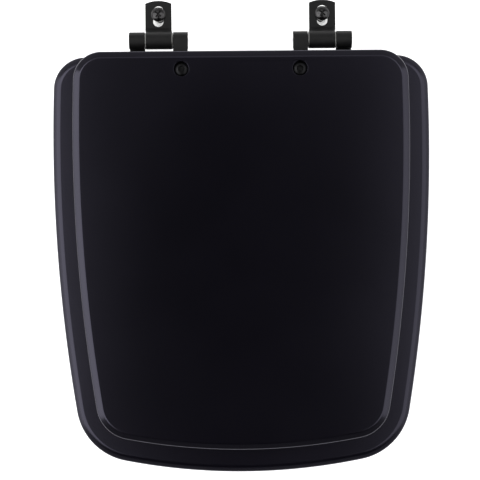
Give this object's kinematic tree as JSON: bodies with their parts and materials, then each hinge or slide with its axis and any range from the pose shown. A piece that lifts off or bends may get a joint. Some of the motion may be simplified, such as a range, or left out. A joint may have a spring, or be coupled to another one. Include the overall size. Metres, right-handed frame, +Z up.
{
  "type": "toilet seat with lid",
  "caption": "Rounded-square lacquered toilet seat ring and lid on two rolled-strip metal hinges with slotted fixing tabs, bolts and wing nuts.",
  "frame": {"origin": "midway between the two fixing bolts, on the rim face that the seat is bolted to", "axes": "+Z up away from the rim, -Y to the front of the seat, +X to its right seen from above with the front towards the viewer"},
  "size_m": [0.352, 0.4455, 0.1001],
  "materials": {
    "lid_lacquer": "black satin lacquer on moulded wood board",
    "ring_lacquer": "black satin lacquer on moulded wood board",
    "hinge_coating": "black satin powder coat on steel strip",
    "pin_steel": "black oxide steel pin",
    "bush_nylon": "pale grey nylon",
    "black_nickel": "black nickel plate",
    "zinc_steel": "bright zinc plate",
    "nut_nylon": "natural white nylon",
    "pale_rubber": "natural white elastomer",
    "black_rubber": "matt black rubber"
  },
  "bodies": {
    "brackets": {"hinge_bracket_left": "hinge_coating", "hinge_bracket_right": "hinge_coating", "hinge_pin_left": "pin_steel", "hinge_pin_right": "pin_steel", "bracket_bushes_left": "bush_nylon", "bracket_bushes_right": "bush_nylon", "base_gasket_left": "pale_rubber", "base_gasket_right": "pale_rubber"},
    "ring": {"seat_ring": "ring_lacquer", "ring_leaf_left": "hinge_coating", "ring_leaf_right": "hinge_coating", "ring_leaf_bushes": "bush_nylon", "ring_leaf_screws": "zinc_steel", "ring_buffers_front": "black_rubber", "ring_buffers_back": "black_rubber", "ring_buffer_screws": "zinc_steel"},
    "lid": {"lid_panel": "lid_lacquer", "lid_leaf_left": "hinge_coating", "lid_leaf_right": "hinge_coating", "lid_leaf_bushes": "bush_nylon", "lid_bolt_left": "black_nickel", "lid_bolt_right": "black_nickel", "lid_leaf_screws": "zinc_steel", "lid_buffers_front": "black_rubber", "lid_buffers_side": "black_rubber"},
    "bolt_left": {"fixing_bolt_left": "black_nickel"},
    "bolt_right": {"fixing_bolt_right": "black_nickel"},
    "clamp_left": {"cone_washer_left": "pale_rubber", "steel_washer_left": "zinc_steel", "wing_nut_left": "nut_nylon"},
    "clamp_right": {"cone_washer_right": "pale_rubber", "steel_washer_right": "zinc_steel", "wing_nut_right": "nut_nylon"}
  },
  "joints": [
    {"name": "ring_hinge", "type": "hinge", "parent": "brackets", "child": "ring", "pos_m": [0, -0.0268, 0.018], "axis": [-1, 0, 0], "range_deg": [0, 95]},
    {"name": "lid_hinge", "type": "hinge", "parent": "ring", "child": "lid", "pos_m": [0, -0.0268, 0.018], "axis": [1, 0, 0], "range_deg": [-105, 0]},
    {"name": "bolt_slide_left", "type": "slide", "parent": "brackets", "child": "bolt_left", "axis": [0, 1, 0], "range_m": [-0.0057, 0.005]},
    {"name": "bolt_slide_right", "type": "slide", "parent": "brackets", "child": "bolt_right", "axis": [0, 1, 0], "range_m": [-0.0057, 0.005]},
    {"name": "clamp_slide_left", "type": "slide", "parent": "bolt_left", "child": "clamp_left", "axis": [0, 0, 1], "range_m": [-0.0135, 0.011]},
    {"name": "clamp_slide_right", "type": "slide", "parent": "bolt_right", "child": "clamp_right", "axis": [0, 0, 1], "range_m": [-0.0135, 0.011]}
  ]
}
